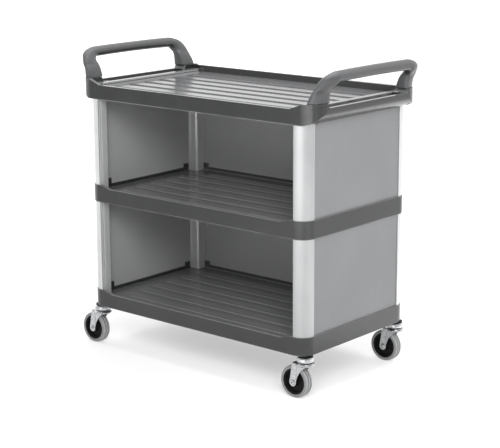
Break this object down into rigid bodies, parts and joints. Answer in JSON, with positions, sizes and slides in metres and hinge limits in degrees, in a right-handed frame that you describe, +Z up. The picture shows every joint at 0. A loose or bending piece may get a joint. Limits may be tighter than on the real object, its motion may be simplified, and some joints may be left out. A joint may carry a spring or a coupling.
{
  "type": "service cart",
  "caption": "Service cart with stacked ribbed trays on rounded corner uprights, panels closing the ends and back, loop handles on the ends and swivel casters.",
  "frame": {"origin": "on the floor under the middle of the cart", "axes": "+X along the cart towards the right-hand handle, +Y towards the closed back, +Z up"},
  "size_m": [1.016, 0.51, 0.9705],
  "materials": {
    "moulded_tray": "fine moulded texture, satin floor ribs",
    "moulded_handle": "smooth satin moulding",
    "upright_aluminium": "satin anodised extrusion",
    "panel_sheet": "satin sheet",
    "zinc_steel": "bright zinc plate",
    "black_plastic": "moulded black",
    "grey_tyre": "non-marking grey rubber"
  },
  "bodies": {
    "frame": {"top_tray": "moulded_tray", "middle_shelf": "moulded_tray", "bottom_shelf": "moulded_tray", "lower_front_left_upright": "upright_aluminium", "lower_front_right_upright": "upright_aluminium", "lower_back_left_upright": "upright_aluminium", "lower_back_right_upright": "upright_aluminium", "upper_front_left_upright": "upright_aluminium", "upper_front_right_upright": "upright_aluminium", "upper_back_left_upright": "upright_aluminium", "upper_back_right_upright": "upright_aluminium", "lower_left_panel": "panel_sheet", "lower_right_panel": "panel_sheet", "lower_back_panel": "panel_sheet", "upper_left_panel": "panel_sheet", "upper_right_panel": "panel_sheet", "upper_back_panel": "panel_sheet", "left_handle": "moulded_handle", "right_handle": "moulded_handle", "handle_screws": "zinc_steel", "stem_sockets": "black_plastic", "dust_rings": "black_plastic", "front_left_caster_stem": "zinc_steel", "front_left_race_cup": "zinc_steel", "front_left_swivel_balls": "zinc_steel", "front_right_caster_stem": "zinc_steel", "front_right_race_cup": "zinc_steel", "front_right_swivel_balls": "zinc_steel", "back_left_caster_stem": "zinc_steel", "back_left_race_cup": "zinc_steel", "back_left_swivel_balls": "zinc_steel", "back_right_caster_stem": "zinc_steel", "back_right_race_cup": "zinc_steel", "back_right_swivel_balls": "zinc_steel"},
    "front_left_caster": {"front_left_fork": "zinc_steel", "front_left_axle_bolt": "zinc_steel", "front_left_axle_nut": "zinc_steel", "front_left_axle_bush": "zinc_steel"},
    "front_left_wheel": {"front_left_wheel_hub": "black_plastic", "front_left_tyre": "grey_tyre"},
    "front_right_caster": {"front_right_fork": "zinc_steel", "front_right_axle_bolt": "zinc_steel", "front_right_axle_nut": "zinc_steel", "front_right_axle_bush": "zinc_steel"},
    "front_right_wheel": {"front_right_wheel_hub": "black_plastic", "front_right_tyre": "grey_tyre"},
    "back_left_caster": {"back_left_fork": "zinc_steel", "back_left_axle_bolt": "zinc_steel", "back_left_axle_nut": "zinc_steel", "back_left_axle_bush": "zinc_steel"},
    "back_left_wheel": {"back_left_wheel_hub": "black_plastic", "back_left_tyre": "grey_tyre"},
    "back_right_caster": {"back_right_fork": "zinc_steel", "back_right_axle_bolt": "zinc_steel", "back_right_axle_nut": "zinc_steel", "back_right_axle_bush": "zinc_steel"},
    "back_right_wheel": {"back_right_wheel_hub": "black_plastic", "back_right_tyre": "grey_tyre"}
  },
  "joints": [
    {"name": "front_left_swivel", "type": "hinge", "parent": "frame", "child": "front_left_caster", "pos_m": [-0.425, -0.226, 0.11], "axis": [0, 0, 1], "continuous": true},
    {"name": "front_left_roll", "type": "hinge", "parent": "front_left_caster", "child": "front_left_wheel", "pos_m": [-0.458, -0.226, 0.05], "axis": [0, 1, 0], "continuous": true},
    {"name": "front_right_swivel", "type": "hinge", "parent": "frame", "child": "front_right_caster", "pos_m": [0.425, -0.226, 0.11], "axis": [0, 0, 1], "continuous": true},
    {"name": "front_right_roll", "type": "hinge", "parent": "front_right_caster", "child": "front_right_wheel", "pos_m": [0.392, -0.226, 0.05], "axis": [0, 1, 0], "continuous": true},
    {"name": "back_left_swivel", "type": "hinge", "parent": "frame", "child": "back_left_caster", "pos_m": [-0.425, 0.226, 0.11], "axis": [0, 0, 1], "continuous": true},
    {"name": "back_left_roll", "type": "hinge", "parent": "back_left_caster", "child": "back_left_wheel", "pos_m": [-0.458, 0.226, 0.05], "axis": [0, 1, 0], "continuous": true},
    {"name": "back_right_swivel", "type": "hinge", "parent": "frame", "child": "back_right_caster", "pos_m": [0.425, 0.226, 0.11], "axis": [0, 0, 1], "continuous": true},
    {"name": "back_right_roll", "type": "hinge", "parent": "back_right_caster", "child": "back_right_wheel", "pos_m": [0.392, 0.226, 0.05], "axis": [0, 1, 0], "continuous": true}
  ]
}
